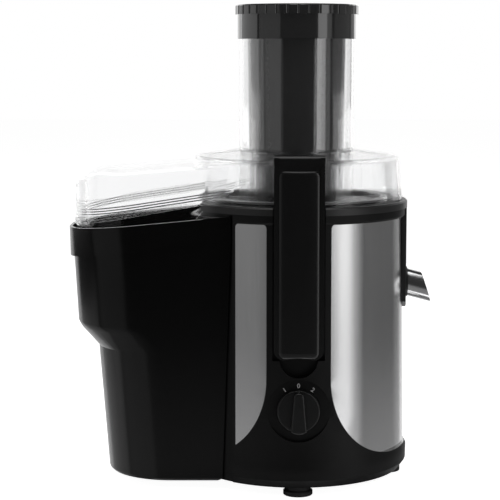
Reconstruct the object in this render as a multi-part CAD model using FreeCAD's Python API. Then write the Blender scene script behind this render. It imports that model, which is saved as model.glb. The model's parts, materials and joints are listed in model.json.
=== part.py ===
import FreeCAD, Part
import math
import os
from FreeCAD import Vector

# Centrifugal juicer, millimetres, +Z up.
# Everything is laid out about the vertical motor axis (x = 0, y = 0) with the table at z = 0
# and the user on the -Y side, then moved so that the origin is the bottom centre of the
# bounding box.

# ------------------------------------------------------------------ body
foot_height = 7.3            # underside of the base above the table
cover_height = 6.6           # base cover, underside to seam
cover_radius = 84.0          # flat underside of the base cover
hem_height = 10.0            # seam to the widest ring of the base
hem_radius = 89.0
hem_draft = 0.3              # the base narrows by this from its widest ring to the seam
waist_height = 15.0          # seam to the foot of the straight body
waist_radius = 86.4
body_height = 194.5          # seam to the lower edge of the collar
body_top_radius = 83.9
collar_height = 6.9
collar_step = 1.4            # bowl flange stands proud of the collar
rim_radius = 88.2            # bowl flange
wall = 2.8                   # moulded housing wall
cover_wall = 2.5
running_gap = 0.05           # radial, shafts and pins that turn
loose_gap = 0.3              # between moulded pieces that are lifted off or pushed home
part_gap = 0.8               # between pieces that pass each other

# ------------------------------------------------------------------ steel panels
column_half = 24.4           # black column between the panels
bell_height = 77.0           # seam to where the column starts to flare
bell_reach = 78.0            # how far the flare runs to the side
panel_bottom = 13.0          # seam to the lower edge of the panels
panel_sheet = 0.6
panel_glue = 0.15
panel_corner = 3.0
left_panel_edge = 47.8       # outer upright edge of the left panels

# ------------------------------------------------------------------ dock for the bin
dock_shoulder = 50.0         # body corner beside the bin, distance left of the axis
dock_bottom_radius = 83.0
dock_top_radius = 78.0
hook_half_width = 14.0       # hook of the bin and its notch in the dock wall
hook_gap = 0.5
hook_notch_drop = 10.4       # top of the housing down to the notch floor

# ------------------------------------------------------------------ bowl
bowl_flange = 6.0            # visible ring on top of the collar
bowl_cup_radius = 73.0       # outside of the cup inside the housing
bowl_wall = 2.2
bowl_mouth_radius = 76.0
bowl_outlet = 74.0           # flange cut away beyond this, over the bin
floor_height_right = 66.9    # bowl floor below the top of the housing, at the spout side
floor_rise = 9.0             # floor is this much higher at the bin side
hub_collar_radius = 14.0     # bore of the bowl's centre collar
hub_collar_wall = 2.5
hub_collar_height = 13.0     # above the floor at the axis
tongue_half = 14.2           # strip that carries the spout
tongue_length = 81.2         # underside of the flange down to the pointed tip
tongue_point = 6.0
tongue_radius = 88.0
spine_half = 13.0            # web between cup and tongue

# ------------------------------------------------------------------ spout
spout_radius = 10.8
spout_wall = 1.2
spout_slope = 14.7           # degrees below level
spout_drop = 60.9            # top of the housing down to the spout axis at the tongue face
spout_length = 16.6          # beyond the tongue face, along the axis
spout_rake = 17.6            # degrees that the mouth leans back from upright
spout_boss_radius = 12.0     # ring of the bowl round the root of the spout
spout_boss = 0.9             # how far the ring stands out of the tongue

# ------------------------------------------------------------------ lid and feed tube
lid_height = 34.1            # bowl flange to the shoulder of the lid
lid_foot_radius = 83.2
lid_step_height = 7.4        # top of the lid's foot ring
lid_step_radius = 82.9
lid_step = 0.8               # foot ring and gate stand proud of the lid wall
lid_shoulder_radius = 81.1
lid_round = 5.0
lid_rise = 5.0               # shoulder to the foot of the feed tube
lid_wall = 2.4
tube_radius = 45.3
tube_wall = 2.2
tube_height = 86.5           # above the lid
tube_tip_gap = 3.0           # feed tube end above the grater teeth
gate_half = 30.4             # raised gate of the lid behind the latch
gate_round = 6.0             # where the gate widens into the foot ring
gate_reach = 76.0            # inner end of the gate on top of the lid, from the axis
passage_drop = 7.0           # shoulder of the lid down to the passage into the hood

# ------------------------------------------------------------------ hood over the bin
hood_reach = 174.0           # left end, from the axis
hood_half = 58.5
hood_mouth_half = 67.0       # where the hood meets the lid
hood_mouth_x = 47.0
hood_flare_x = 82.0
hood_corner = 49.0
hood_top_left = 11.6         # above the bowl flange, at the left end
hood_crown_x = 140.0
hood_crown_height = 23.8     # above the bowl flange, at hood_crown_x
hood_end_height = 31.4       # above the bowl flange, at hood_mouth_x
hood_top_round = 5.0
hood_line_left = -13.4       # ridges of the hood at the left end, above the bowl flange
hood_line_level = 10.0       # level run of the ridges before the lid
hood_ridge = 0.9             # height of each ridge
hood_ridge_reach = 1.2
hood_ridge_pitch = 1.9
hood_ridges = 3
hood_wall = 2.2
hood_skirt = 4.0             # how far the hood drops inside the rim of the bin
passage_half = 42.0          # opening between lid and hood

# ------------------------------------------------------------------ pulp bin
bin_gap = 1.2                # bin to the dock wall
bin_half = 61.0
bin_corner = 52.0
bin_wall = 2.5
bin_bottom = -0.7            # underside of the bin, from the underside of the base
bin_bottom_left = 149.4
bin_knee_left = 157.1
bin_bend_left = 170.6
bin_shoulder_left = 173.0
bin_band_left = 175.9        # lower edge of the rim band
bin_rim_left = 176.5
bin_knee_height = 99.4       # above the underside of the base
bin_bend_height = 114.4
bin_shoulder_height = 118.9
bin_band_depth = 22.4        # rim down to the lower edge of its band, at the left end
bin_band_step = 2.9          # rim band stands proud of the wall
bin_band_slope = 8.1         # degrees, lower edge of the band
bin_rim_slope = 5.4          # degrees, rim
bin_rim_drop = 14.5          # top of the housing down to the rim, at the left end
bin_bottom_round = 2.5
hook_lip = 3.2
hook_nib = 1.0
hook_nib_drop = 4.0
hook_bead = 1.0              # radius of the bead that the bin rocks on
hook_bead_sink = 0.3         # centre of the bead above the notch floor

# ------------------------------------------------------------------ latches
arm_half = 19.0
arm_front = 92.0             # from the axis
arm_pad = 2.6                # raised front face
arm_pad_half = 15.25
arm_strip = 1.0              # centre of the arm above the pad, proud of its sides
arm_brow = 4.5               # rounded top edge of the arm
arm_plate = 2.2
arm_depth = 7.0              # front face to the back edge of the side walls above the collar
arm_root_depth = 11.3        # the same below the collar, inside the channel
dial_gap = 1.1               # dial dish up to the finger scoop under the arm
arm_pad_top = 9.0            # lip underside down to the shoulder of the pad
arm_lip = 2.6
arm_lip_reach = 66.0         # inner end of the lip, from the axis
channel_floor = 79.0         # latch channel, from the axis
channel_gap = 0.8
scoop_radius = 14.5
link_length = 14.0
link_pivot_drop = 38.4       # top of the housing down to the housing pivot
link_axis = 82.3             # pivots, from the axis
link_half = 6.0
link_thickness = 5.0
link_side_gap = 0.5
link_lug = 2.6               # lugs of the channel that carry the link pin
link_pin_radius = 2.0
arm_pin_radius = 1.5
arm_ear = 2.5
plunger_radius = 2.5
plunger_rise = 12.0          # above the deck
plunger_travel = 2.5

# ------------------------------------------------------------------ speed switch
knob_height = 53.3           # above the seam
knob_radius = 16.2
knob_skirt = 5.0
knob_grip_half = 4.8
knob_front = 97.0            # from the axis
dial_radius = 24.0
dial_floor = 82.6            # from the axis
spindle_radius = 3.0
spindle_tail = 14.0          # inside the rotary switch
spindle_head = 2.5           # inside the grip of the knob
switch_half = 14.0
switch_depth = 18.0
interlock_half = 10.0
interlock_depth = 10.0
interlock_height = 16.0
plunger_head = 6.0           # head of the plunger behind the channel wall

# ------------------------------------------------------------------ motor
deck_drop = 92.4             # top of the housing down to the deck
deck_thickness = 3.0
boss_radius = 13.0
boss_bore = 9.0
boss_height = 34.0           # above the underside of the deck
shaft_radius = 4.0
bearing_radius = 11.0
bearing_width = 7.0
bush_height = 9.0
bush_radius = 5.0
motor_screw_radius = 1.6
motor_screw_x = 34.0
motor_screw_y = 8.0
motor_clearance = 10.1       # base cover up to the end of the shaft
core_radius = 43.0
core_flat = 38.0
armature_radius = 22.6
air_gap = 0.6
end_turn = 8.0
coil_inner = 26.0
coil_outer = 36.0
bracket_half = 14.0
bracket_plate = 3.0
bracket_leg = 6.0
upper_cup = 6.0              # bearing cups beyond their bracket plates
lower_cup = 8.0
shaft_clearance = 2.5
upper_leg_height = 12.0
lower_leg_height = 28.0
commutator_radius = 12.0
commutator_height = 10.5
brush_half = 3.0
brush_height = 8.0
brush_length = 17.0
brush_lift = 1.8             # above the lower bearing cup
brush_gap = 0.2
holder_wall = 1.2
holder_length = 16.0
fan_radius = 36.0
fan_height = 10.0
fan_blades = 9
fan_drop = 4.0               # below the lower bearing
shaft_tail = 2.0             # below the fan

# ------------------------------------------------------------------ basket
basket_gap = 12.0            # deck boss top to the underside of the basket
coupling_radius = 11.0
coupling_height = 11.5
coupling_lobes = 6
basket_floor = 4.0
basket_bottom_radius = 51.0
basket_top_radius = 70.0
basket_flange_radius = 76.5
basket_flange = 1.5
seal_height = 7.0
basket_lift = 1.2            # flange above the bowl flange
mesh_sheet = 0.8
mesh_slots = 24
grater_radius = 47.5
grater_sheet = 1.2
grater_teeth = (10, 16, 22)  # teeth on each ring
tooth_height = 2.0

# ------------------------------------------------------------------ pusher
pusher_top_radius = 38.9
pusher_bottom_radius = 36.6
pusher_wall = 2.5
pusher_clearance = 9.0       # above the end of the feed tube
cap_collar = 19.0
cap_collar_radius = 46.6
cap_flange_radius = 48.4
cap_flange = 7.5
cap_edge = 3.0               # rim of the flange outside its domed top
cap_dome = 1.5
cap_notches = 36

# ------------------------------------------------------------------ feet, screws, gland
foot_ring = 73.5
cup_radius = 11.3
foot_neck = 9.0
foot_stem = 4.4
screw_ring = 77.5
screw_angles = (45.0, 120.0, 240.0, 315.0)
screw_radius = 1.5
screw_head = 3.2
screw_well = 3.2             # depth of the head below the underside
screw_length = 16.0
boss_post = 4.6
boss_post_height = 22.0
pilot_depth = 20.0
gland_height = 27.0          # above the seam
gland_radius = 6.5
gland_bore = 3.5
gland_flange = 9.5
vent_slots = 12

# ------------------------------------------------------------------ levels worked out from them
underside_z = foot_height
seam_z = underside_z + cover_height
hem_z = seam_z + hem_height
waist_z = seam_z + waist_height
collar_z = seam_z + body_height
housing_top_z = collar_z + collar_height
bowl_top_z = housing_top_z + bowl_flange
step_z = bowl_top_z + lid_step_height
shoulder_z = bowl_top_z + lid_height
crown_z = shoulder_z + lid_rise
tube_top_z = crown_z + tube_height

deck_z = housing_top_z - deck_drop
deck_top_z = deck_z + deck_thickness
boss_top_z = deck_z + boss_height
basket_z = boss_top_z + basket_gap
basket_floor_z = basket_z + basket_floor
tooth_tip_z = basket_floor_z + grater_sheet + tooth_height
tube_tip_z = tooth_tip_z + tube_tip_gap
pusher_bottom_z = tube_tip_z + pusher_clearance
basket_flange_z = bowl_top_z + basket_lift

upper_plate_z = deck_z - bush_height - bracket_plate
core_top_z = upper_plate_z + bracket_plate - upper_leg_height - bracket_plate
shaft_end_z = underside_z + cover_wall + motor_clearance
fan_bottom_z = shaft_end_z + shaft_tail
fan_top_z = fan_bottom_z + fan_height
lower_bearing_z = fan_top_z + fan_drop
lower_plate_z = lower_bearing_z
core_bottom_z = lower_plate_z + bracket_plate + lower_leg_height
brush_z = lower_plate_z + lower_cup + brush_lift

floor_low_z = housing_top_z - floor_height_right
floor_mid_z = floor_low_z + floor_rise / 2
floor_slope = math.degrees(math.atan2(floor_rise, 2 * (bowl_cup_radius - bowl_wall)))
spout_z = housing_top_z - spout_drop
lid_fall = lid_rise / (lid_shoulder_radius - tube_radius)
arm_lip_z = crown_z - lid_fall * (arm_lip_reach - tube_radius) + 2 * loose_gap
knob_z = seam_z + knob_height
arm_bottom_z = knob_z + dial_radius + dial_gap + scoop_radius
arm_back = arm_front - arm_depth
arm_root = arm_front - arm_root_depth
link_pivot_z = housing_top_z - link_pivot_drop
link_pin_half = link_half + link_side_gap + link_lug
arm_pin_half = link_pin_half + link_side_gap + arm_ear
plunger_z = deck_top_z + plunger_rise
notch_z = housing_top_z - hook_notch_drop
hook_pivot_z = notch_z + hook_bead_sink
bin_rim_height = housing_top_z - underside_z - bin_rim_drop
bin_band_height = bin_rim_height - bin_band_depth

spout_dir = Vector(math.cos(math.radians(spout_slope)), 0, -math.sin(math.radians(spout_slope)))
spout_root = Vector(tongue_radius, 0, spout_z)
spout_tip = spout_root + spout_dir * spout_length
far = 400.0                  # reach of cutting blocks


# ------------------------------------------------------------------ small helpers
def turned(outline, angle=360.0):
    """Solid of revolution about the motor axis from a closed (radius, height) outline."""
    points = [Vector(r, 0, z) for r, z in outline]
    face = Part.Face(Part.makePolygon(points + points[:1]))
    return face.revolve(Vector(0, 0, 0), Vector(0, 0, 1), angle)


def sector(inner, outer, low, high, start, end):
    """Part of a ring between two angles in degrees."""
    solid = turned([(inner, low), (outer, low), (outer, high), (inner, high)], end - start)
    solid.rotate(Vector(0, 0, 0), Vector(0, 0, 1), start)
    return solid


def disc(radius, low, high, x=0.0, y=0.0):
    return Part.makeCylinder(radius, high - low, Vector(x, y, low))


def ring(outer, inner, low, high, x=0.0, y=0.0):
    return disc(outer, low, high, x, y).cut(disc(inner, low - 1, high + 1, x, y))


def block(x0, x1, y0, y1, z0, z1):
    return Part.makeBox(x1 - x0, y1 - y0, z1 - z0, Vector(x0, y0, z0))


def rod(radius, start, end):
    way = end - start
    return Part.makeCylinder(radius, way.Length, start, way)


def rod_y(radius, near, away, z, x=0.0):
    """Round bar along Y between two distances in front of the axis."""
    return rod(radius, Vector(x, -near, z), Vector(x, -away, z))


def rod_x(radius, x0, x1, front, z):
    return rod(radius, Vector(x0, -front, z), Vector(x1, -front, z))


PLACES = {
    "xy": lambda a, b: Vector(a, b, 0),
    "xz": lambda a, b: Vector(a, 0, b),
    "yz": lambda a, b: Vector(0, a, b),
}


def outline(plane, start, *steps):
    """Closed wire; a step is a point for a line, or (through, end) for an arc."""
    place = PLACES[plane]
    edges = []
    here = place(*start)
    for step in steps + (start,):
        if isinstance(step[0], tuple):
            end = place(*step[1])
            edges.append(Part.Arc(here, place(*step[0]), end).toShape())
        else:
            end = place(*step)
            if here.distanceToPoint(end) < 1e-6:
                continue
            edges.append(Part.makeLine(here, end))
        here = end
    return Part.Wire(edges)


def prism(plane, low, high, start, *steps):
    """Outline extruded along the plane's normal from low to high."""
    face = Part.Face(outline(plane, start, *steps))
    normal = {"xy": Vector(0, 0, 1), "xz": Vector(0, 1, 0), "yz": Vector(1, 0, 0)}[plane]
    face.translate(normal * low)
    return face.extrude(normal * (high - low))


def around(shape, angles):
    """Copies of a shape turned about the motor axis."""
    copies = []
    for angle in angles:
        copy = shape.copy()
        copy.rotate(Vector(0, 0, 0), Vector(0, 0, 1), angle)
        copies.append(copy)
    return copies


def spread(count, start=0.0):
    return [start + 360.0 * k / count for k in range(count)]


def to_rear(shape):
    """The rear latch is the front one turned half a turn about the motor axis."""
    return around(shape, [180.0])[0]


# ------------------------------------------------------------------ body of the machine
def body_radius(z):
    """Outside radius of the moulded body at a height between seam and collar."""
    if z < hem_z:
        share = (z - seam_z) / (hem_z - seam_z)
        return hem_radius - hem_draft * (1 - share)
    if z < waist_z:
        share = (z - hem_z) / (waist_z - hem_z)
        return hem_radius + (waist_radius - hem_radius) * share
    share = (z - waist_z) / (collar_z - waist_z)
    return waist_radius + (body_top_radius - waist_radius) * share


def body_solid(inset, low, high):
    """Body of revolution, inset from the outside, without the collar."""
    levels = [low] + [z for z in (hem_z, waist_z) if low < z < high] + [high]
    points = [(body_radius(z) - inset, z) for z in levels]
    return turned([(0, low)] + points + [(0, high)])


def dock_radius(z):
    share = (z - underside_z) / (housing_top_z - underside_z)
    return dock_bottom_radius + (dock_top_radius - dock_bottom_radius) * share


def dock_space(inset):
    """Space left of the dock shoulder and outside the tapered dock wall."""
    low, high = underside_z - 1, bowl_top_z + 1
    core = turned([(0, low), (dock_radius(low) - inset, low),
                   (dock_radius(high) - inset, high), (0, high)])
    return block(-far, inset - dock_shoulder, -far, far, low, high).cut(core)


def latch_channel(spare, deeper):
    """Front channel for the latch arm with the finger scoop below it."""
    half = arm_half + channel_gap + spare
    low = arm_bottom_z - 1.5 - spare
    channel = block(-half, half, -far, deeper - channel_floor, low, housing_top_z + 1)
    scoop = rod_y(scoop_radius + spare, channel_floor - deeper, far, arm_bottom_z)
    return channel.fuse(scoop)


def channel_lining():
    """Walls that the housing forms round one latch channel."""
    outer = latch_channel(wall, wall)
    limit = body_solid(wall / 2, arm_bottom_z - scoop_radius - 2 * wall, collar_z)
    limit = limit.fuse(disc(rim_radius - collar_step - wall / 2, collar_z, housing_top_z))
    return outer.common(limit)


def link_lugs():
    """Pair of lugs on the channel floor that carry the pin of the latch link."""
    lugs = []
    for side in (-1, 1):
        x0, x1 = sorted((side * (link_half + link_side_gap), side * link_pin_half))
        eye = rod_x(link_pin_radius + 1.8, x0, x1, link_axis, link_pivot_z)
        foot = block(x0, x1, -link_axis, 0.5 - channel_floor, link_pivot_z - link_pin_radius - 1.8,
                     link_pivot_z + link_pin_radius + 1.8)
        lugs.append(eye.fuse(foot))
    return lugs[0].fuse(lugs[1])


def panel_face(side):
    """Outline of a steel panel in front view: side 1 is right, -1 is left."""
    top, foot = collar_z, seam_z + panel_bottom
    flare_z = seam_z + bell_height
    inner, corner = column_half, panel_corner
    # the foot of the panel runs down a quarter ellipse from the upright column edge
    ellipse = Part.Ellipse(Vector(0, 0, 0), flare_z - foot, bell_reach - inner).toShape()
    flare = Part.Face(Part.Wire([ellipse])).extrude(Vector(0, 0, 2 * far))
    upright = FreeCAD.Rotation(Vector(1, 0, 0), 90).multiply(FreeCAD.Rotation(Vector(0, 0, 1), 90))
    flare.Placement = FreeCAD.Placement(Vector(side * bell_reach, far, flare_z), upright)
    reach = far if side > 0 else left_panel_edge
    near, away = sorted((side * inner, side * reach))
    upper = prism("xz", -far, far, (side * inner, flare_z),
                  (side * inner, top - corner),
                  ((side * (inner + corner * 0.2929), top - corner * 0.2929),
                   (side * (inner + corner), top)),
                  (side * reach, top), (side * reach, flare_z))
    lower = flare.common(block(near, away, -far, far, foot, flare_z))
    shape = upper.fuse(lower)
    if reach > bell_reach:
        return shape.fuse(block(bell_reach, reach, -far, far, foot, top))
    corner_x, corner_z = side * (reach - corner), top - corner
    square = block(-reach, -reach + corner, -far, far, corner_z, top)
    return shape.cut(square.cut(rod(corner, Vector(corner_x, -far, corner_z),
                                    Vector(corner_x, far, corner_z))))


def panel_shell(inset, thickness, side, half):
    """Steel sheet: a slice of the body's skin inside the panel outline."""
    low, high = seam_z + panel_bottom - 1, collar_z
    skin = body_solid(inset, low, high).cut(body_solid(inset + thickness, low - 1, high + 1))
    sheet = skin.common(panel_face(side))
    if half:
        sheet = sheet.common(block(-far, far, min(0, half * far), max(0, half * far), 0, far))
    return sheet


def spine_slot(spare):
    """Slot on the right of the body that takes the bowl's web."""
    low = floor_low_z - bowl_wall - 3.0 - spare
    half = spine_half + loose_gap + spare
    return block(bowl_cup_radius, far, -half, half, low, housing_top_z + 1)


def right_panel():
    return panel_shell(0, panel_sheet, 1, 0).cut(spine_slot(0.4))


def left_panel(half):
    return panel_shell(0, panel_sheet, -1, half)


def housing():
    outer = body_solid(0, seam_z, collar_z)
    collar_radius = rim_radius - collar_step
    collar = turned([(0, collar_z), (collar_radius - 1.0, collar_z),
                     (collar_radius, collar_z + 1.5), (collar_radius, housing_top_z),
                     (0, housing_top_z)])
    outer = outer.fuse(collar)
    inner = body_solid(wall, seam_z - 1e-3, collar_z)
    inner = inner.fuse(disc(body_top_radius - wall, collar_z - 1, housing_top_z + 1))
    inner = inner.cut(dock_space(wall))
    shell = outer.cut(dock_space(0)).cut(inner)
    recess = panel_sheet + panel_glue
    for side, half in ((1, 0), (-1, 1), (-1, -1)):
        shell = shell.cut(panel_shell(-1, recess + 1, side, half))
    deck_disc = disc(bowl_cup_radius + 1.5, deck_z, deck_top_z)
    deck_rim = body_solid(wall / 2, deck_z, deck_top_z).cut(dock_space(wall / 2))
    deck = deck_rim.fuse(deck_disc).fuse(disc(boss_radius, deck_z, boss_top_z))
    lining = channel_lining()
    shell = shell.fuse(deck).fuse(lining).fuse(to_rear(lining))
    pad = rod_y(dial_radius + 2, dial_floor - wall, body_radius(knob_z) - 0.5, knob_z)
    shell = shell.fuse(pad.common(body_solid(wall / 2, knob_z - far / 8, knob_z + far / 8)))
    post = disc(boss_post, seam_z, seam_z + boss_post_height, screw_ring)
    web = block(screw_ring, body_radius(seam_z) - 1.0, -1.2, 1.2, seam_z, seam_z + boss_post_height)
    post = post.fuse(web.common(body_solid(wall / 2, seam_z, seam_z + boss_post_height)))
    for boss in around(post, screw_angles):
        shell = shell.fuse(boss)
    channel = latch_channel(0, 0)
    shell = shell.cut(channel).cut(to_rear(channel))
    shell = shell.cut(disc(boss_bore, deck_z - 1, boss_top_z + 1))
    shell = shell.cut(spine_slot(0))
    half = tongue_half + loose_gap
    tongue_slot = block(0, far, -half, half, collar_z, housing_top_z + 1)
    shell = shell.cut(tongue_slot.cut(disc(body_top_radius, collar_z - 1, housing_top_z + 2)))
    shell = shell.cut(rod_y(dial_radius, dial_floor, far, knob_z))
    shell = shell.cut(rod_y(spindle_radius + 0.6, 0, far, knob_z).common(
        block(-far, far, -far, -core_radius, 0, far)))
    pilot = disc(screw_radius + 0.1, seam_z - 1, seam_z + pilot_depth, screw_ring)
    for hole in around(pilot, screw_angles):
        shell = shell.cut(hole)
    for x in (-motor_screw_x, motor_screw_x):
        for y in (-motor_screw_y, motor_screw_y):
            shell = shell.cut(disc(motor_screw_radius + 0.1, deck_z - 1, deck_top_z + 1, x, y))
    lug = link_lugs()
    shell = shell.fuse(lug).fuse(to_rear(lug))
    pin = rod_x(link_pin_radius + running_gap, -link_pin_half - 1, link_pin_half + 1,
                link_axis, link_pivot_z)
    plunger = rod_y(plunger_radius + running_gap, channel_floor - 2 * wall, far, plunger_z)
    for tool in (pin, plunger):
        shell = shell.cut(tool).cut(to_rear(tool))
    shell = shell.cut(rod(gland_radius + 0.1, Vector(0, core_radius, seam_z + gland_height),
                          Vector(0, far, seam_z + gland_height)))
    half = hook_half_width + part_gap
    notch = block(-dock_top_radius - 1, -dock_top_radius + wall + 3, -half, half,
                  notch_z, housing_top_z + 1)
    return shell.cut(notch).cut(hook_bar(hook_bead + running_gap, half)).removeSplitter()


def base_cover():
    outer = turned([(0, underside_z), (cover_radius, underside_z),
                    (body_radius(seam_z), seam_z), (0, seam_z)])
    inner_radius = dock_radius(seam_z) - cover_wall
    inner = disc(inner_radius, underside_z + cover_wall, seam_z + 1)
    cover = outer.cut(dock_space(0)).cut(inner)
    for boss in around(disc(screw_head + 1.8, underside_z, seam_z, screw_ring), screw_angles):
        cover = cover.fuse(boss)
    for angle in screw_angles:
        well = disc(screw_head + 0.4, underside_z - 1, underside_z + screw_well, screw_ring)
        hole = disc(screw_radius + 0.3, underside_z - 1, seam_z + 1, screw_ring)
        cover = cover.cut(around(well.fuse(hole), [angle])[0])
    for hole in around(disc(foot_stem + 0.2, underside_z - 1, seam_z + 1, foot_ring), spread(4)):
        cover = cover.cut(hole)
    slot = block(16, 48, -1.6, 1.6, underside_z - 1, seam_z)
    for vent in around(slot, spread(vent_slots, 15.0)):
        cover = cover.cut(vent)
    return cover.removeSplitter()


def suction_feet():
    top = underside_z + cover_wall
    foot = turned([(0, 2.4), (cup_radius - 2.3, 0), (cup_radius - 0.4, 0), (cup_radius, 0.4),
                   (cup_radius, 3.2), (foot_neck + 0.3, underside_z - 2.8),
                   (foot_neck, underside_z), (foot_stem, underside_z), (foot_stem, top + 0.1),
                   (foot_stem + 1.3, top + 0.8), (foot_stem - 1.0, top + 3.0), (0, top + 3.0)])
    foot.translate(Vector(foot_ring, 0, 0))
    return Part.makeCompound(around(foot, spread(4)))


def bottom_screws():
    head_z = underside_z + screw_well
    screw = disc(screw_head, head_z - 2.0, head_z, screw_ring).fuse(
        disc(screw_radius, head_z, head_z + screw_length, screw_ring))
    slot = block(screw_ring - 0.5, screw_ring + 0.5, -2.2, 2.2, head_z - 3, head_z - 1.1)
    return Part.makeCompound(around(screw.removeSplitter().cut(slot), screw_angles))


def cord_gland():
    z = seam_z + gland_height
    surface = body_radius(z - gland_flange)
    start, end = surface - wall - 3.0, surface + 2.5

    def bar(radius, y0, y1):
        return rod(radius, Vector(0, y0, z), Vector(0, y1, z))
    gland = bar(gland_radius, start, end)
    gland = gland.fuse(bar(gland_flange, surface + 0.1, end))
    gland = gland.fuse(bar(gland_radius + 1.5, start, start + 2.0))
    return gland.cut(bar(gland_bore, start - 1, end + 1)).removeSplitter()


# ------------------------------------------------------------------ bowl and spout
def sloped_floor(height):
    """Half space above the bowl floor plane, moved by a height."""
    half = block(-far, far, -far, far, 0, far)
    half.rotate(Vector(0, 0, 0), Vector(0, 1, 0), floor_slope)
    half.translate(Vector(0, 0, floor_mid_z + height))
    return half


def juice_bowl():
    low = floor_low_z - bowl_wall - 3.0
    cup = disc(bowl_cup_radius, low, housing_top_z + 1)
    flange = turned([(0, housing_top_z), (rim_radius, housing_top_z),
                     (rim_radius, bowl_top_z - 1.2), (rim_radius - 1.2, bowl_top_z),
                     (0, bowl_top_z)])
    outer = cup.fuse(flange).common(sloped_floor(-bowl_wall))
    spine = block(bowl_cup_radius - 1, body_top_radius, -spine_half, spine_half,
                  low + 3.0, bowl_top_z - 2)
    low_tip = housing_top_z - tongue_length
    skin = turned([(body_radius(low_tip) + loose_gap, low_tip),
                   (tongue_radius, low_tip), (tongue_radius, bowl_top_z - 2),
                   (body_top_radius + loose_gap, bowl_top_z - 2)])
    shape = prism("yz", 0, far, (0, low_tip), (tongue_half, low_tip + tongue_point),
                  (tongue_half, bowl_top_z - 2), (-tongue_half, bowl_top_z - 2),
                  (-tongue_half, low_tip + tongue_point))
    tongue = skin.common(shape)
    outer = outer.fuse(spine).fuse(tongue)
    inner = disc(bowl_cup_radius - bowl_wall, low - 1, bowl_top_z + 1)
    inner = inner.fuse(turned([(0, housing_top_z), (bowl_cup_radius - bowl_wall, housing_top_z),
                               (bowl_mouth_radius, bowl_top_z), (0, bowl_top_z)]))
    inner = inner.common(sloped_floor(0))
    collar = disc(hub_collar_radius + hub_collar_wall, low, floor_mid_z + hub_collar_height)
    collar = collar.common(sloped_floor(-bowl_wall))
    boss = rod(spout_boss_radius, Vector(tongue_radius - spout_boss, 0, spout_z),
               Vector(tongue_radius + spout_boss, 0, spout_z))
    bowl = outer.cut(inner).fuse(collar).fuse(boss)
    bowl = bowl.cut(disc(hub_collar_radius, low - 1, housing_top_z))
    gap = arm_half + channel_gap
    notch = block(-gap, gap, -far, -(arm_back - 0.5), housing_top_z - 1, bowl_top_z + 1)
    bowl = bowl.cut(notch).cut(to_rear(notch))
    bowl = bowl.cut(block(-far, -bowl_outlet, -far, far, housing_top_z - 1, bowl_top_z + 1))
    return bowl.cut(spout_bar(spout_radius + 0.05, -22.0, spout_length)).removeSplitter()


def spout_bar(radius, start, end):
    return rod(radius, spout_root + spout_dir * start, spout_root + spout_dir * end)


def juice_spout():
    inside = -(tongue_radius - bowl_cup_radius + bowl_wall)
    tube = spout_bar(spout_radius, inside, spout_length + 12)
    tube = tube.cut(spout_bar(spout_radius - spout_wall, inside - 5, spout_length + 20))
    mouth = block(0, far, -far, far, -far, far)
    mouth.rotate(Vector(0, 0, 0), Vector(0, 1, 0), -spout_rake)
    mouth.translate(spout_tip)
    return tube.cut(mouth)


# ------------------------------------------------------------------ lid
def lid_form(grow):
    """Lid without its tube and hood, grown all round; what hollows it reaches lower."""
    low = bowl_top_z - (1 if grow < 0 else 0)
    edge = shoulder_z + grow
    form = turned([(0, low), (lid_foot_radius + grow, low), (lid_step_radius + grow, step_z),
                   (lid_shoulder_radius + grow, edge), (tube_radius, crown_z + grow),
                   (0, crown_z + grow)])
    shoulder = [e for e in form.Edges if abs(e.BoundBox.ZMin - edge) < 0.01
                and abs(e.BoundBox.ZMax - edge) < 0.01]
    return form.makeFillet(lid_round + grow, shoulder)


def lid_gate():
    """Front view of the gate behind a latch, widening into the foot ring of the lid."""
    half, low, high = gate_half, step_z, crown_z + 2
    bulge = gate_round * (1 - math.sqrt(0.5))
    return prism("xz", -far, -gate_reach, (-half - gate_round, low), (half + gate_round, low),
                 ((half + bulge, low + bulge), (half, low + gate_round)), (half, high),
                 (-half, high), (-half, low + gate_round),
                 ((-half - bulge, low + bulge), (-half - gate_round, low)))


def hood_plan(inset):
    """Hood in plan, open towards the lid, as an upright prism."""
    reach, half = hood_reach - inset, hood_half - inset
    corner = hood_corner - inset
    mouth = hood_mouth_half - inset
    bulge = corner * (1 - math.sqrt(0.5))
    mouth_x = hood_mouth_x if not inset else hood_mouth_x - 8
    return prism("xy", 0, far, (-mouth_x, -mouth), (-hood_flare_x, -half),
                 (-reach + corner, -half),
                 ((-reach + bulge, -half + bulge), (-reach, -half + corner)),
                 (-reach, half - corner),
                 ((-reach + bulge, half - bulge), (-reach + corner, half)),
                 (-hood_flare_x, half), (-mouth_x, mouth))


def hood_ridge_bar(drop):
    """Ridge round the hood, rising from its left end to the flange line of the lid."""
    left, right = bowl_top_z + hood_line_left - drop, step_z - drop
    reach, level_x = hood_reach + hood_ridge_reach, hood_mouth_x + hood_line_level
    slab = prism("xz", -far, far, (-reach, left), (-level_x, right), (-hood_mouth_x, right),
                 (-hood_mouth_x, right - hood_ridge), (-level_x, right - hood_ridge),
                 (-reach, left - hood_ridge))
    return slab.common(hood_plan(-hood_ridge_reach))


def bin_rim_z(x):
    """Height of the bin's sloping rim at a distance left of the axis."""
    left = underside_z + bin_rim_height
    return left + (bin_rim_left - x) * math.tan(math.radians(bin_rim_slope))


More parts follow.
